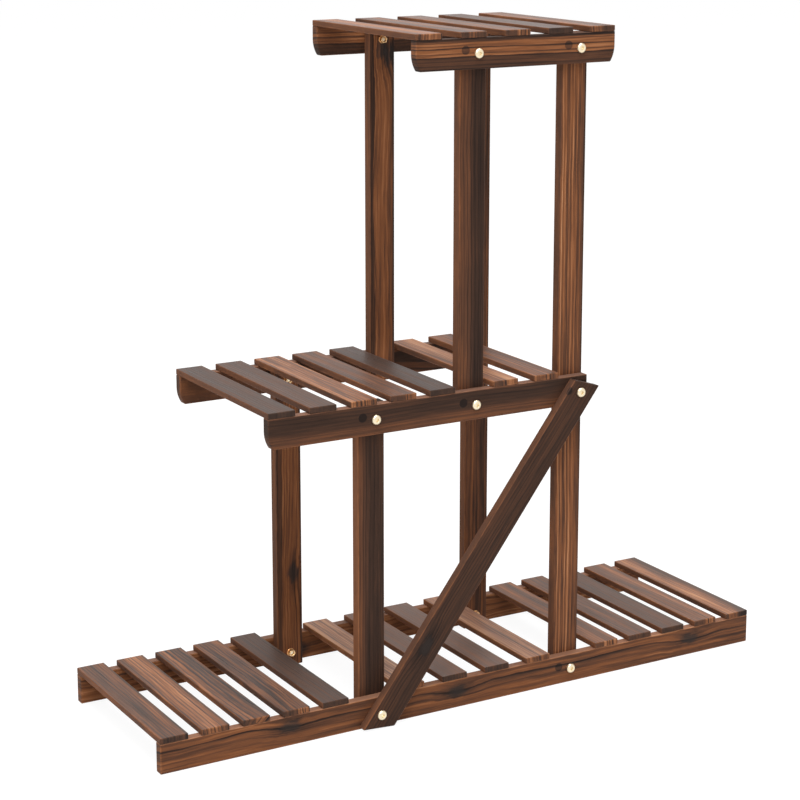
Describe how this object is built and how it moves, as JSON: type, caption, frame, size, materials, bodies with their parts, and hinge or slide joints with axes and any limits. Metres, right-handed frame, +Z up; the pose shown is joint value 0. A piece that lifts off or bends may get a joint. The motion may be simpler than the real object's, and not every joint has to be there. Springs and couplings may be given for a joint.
{
  "type": "plant stand",
  "caption": "Stepped slatted wooden plant stand with a long low shelf, a shorter middle shelf and a small top shelf on bolted posts, stiffened by a diagonal brace.",
  "frame": {"origin": "on the floor under the middle of the stand's box: half way along the lower rails, and half way between the bolt heads on the brace and those on the back rails", "axes": "+X along the shelves from the low step to the tall posts, +Y to the back, +Z up"},
  "size_m": [0.838, 0.2692, 0.816],
  "materials": {
    "scorched_fir": "scorched softwood, brushed and thinly oiled, satin",
    "brass_plated_steel": "pale brass plating, satin",
    "bright_steel": "bright wire"
  },
  "bodies": {
    "root": {"brace_bolts": "brass_plated_steel", "diagonal_brace": "scorched_fir", "lower_back_rail": "scorched_fir", "lower_bolts": "brass_plated_steel", "lower_front_rail": "scorched_fir", "lower_left_slat_1": "scorched_fir", "lower_left_slat_2": "scorched_fir", "lower_left_slat_3": "scorched_fir", "lower_left_slat_4": "scorched_fir", "lower_left_slat_5": "scorched_fir", "lower_middle_slat_1": "scorched_fir", "lower_middle_slat_2": "scorched_fir", "lower_middle_slat_3": "scorched_fir", "lower_middle_slat_4": "scorched_fir", "lower_right_slat_1": "scorched_fir", "lower_right_slat_2": "scorched_fir", "lower_right_slat_3": "scorched_fir", "lower_right_slat_4": "scorched_fir", "lower_right_slat_5": "scorched_fir", "lower_slat_brads": "bright_steel", "middle_back_rail": "scorched_fir", "middle_bolts": "brass_plated_steel", "middle_front_rail": "scorched_fir", "middle_left_slat_1": "scorched_fir", "middle_left_slat_2": "scorched_fir", "middle_left_slat_3": "scorched_fir", "middle_left_slat_4": "scorched_fir", "middle_left_slat_5": "scorched_fir", "middle_right_slat_1": "scorched_fir", "middle_right_slat_2": "scorched_fir", "middle_slat_brads": "bright_steel", "nuts": "brass_plated_steel", "short_back_post": "scorched_fir", "short_front_post": "scorched_fir", "tall_back_post": "scorched_fir", "tall_front_post": "scorched_fir", "upper_back_post": "scorched_fir", "upper_back_rail": "scorched_fir", "upper_bolts": "brass_plated_steel", "upper_front_post": "scorched_fir", "upper_front_rail": "scorched_fir", "upper_slat_1": "scorched_fir", "upper_slat_2": "scorched_fir", "upper_slat_3": "scorched_fir", "upper_slat_4": "scorched_fir", "upper_slat_5": "scorched_fir", "upper_slat_brads": "bright_steel", "washers": "brass_plated_steel"}
  },
  "joints": []
}
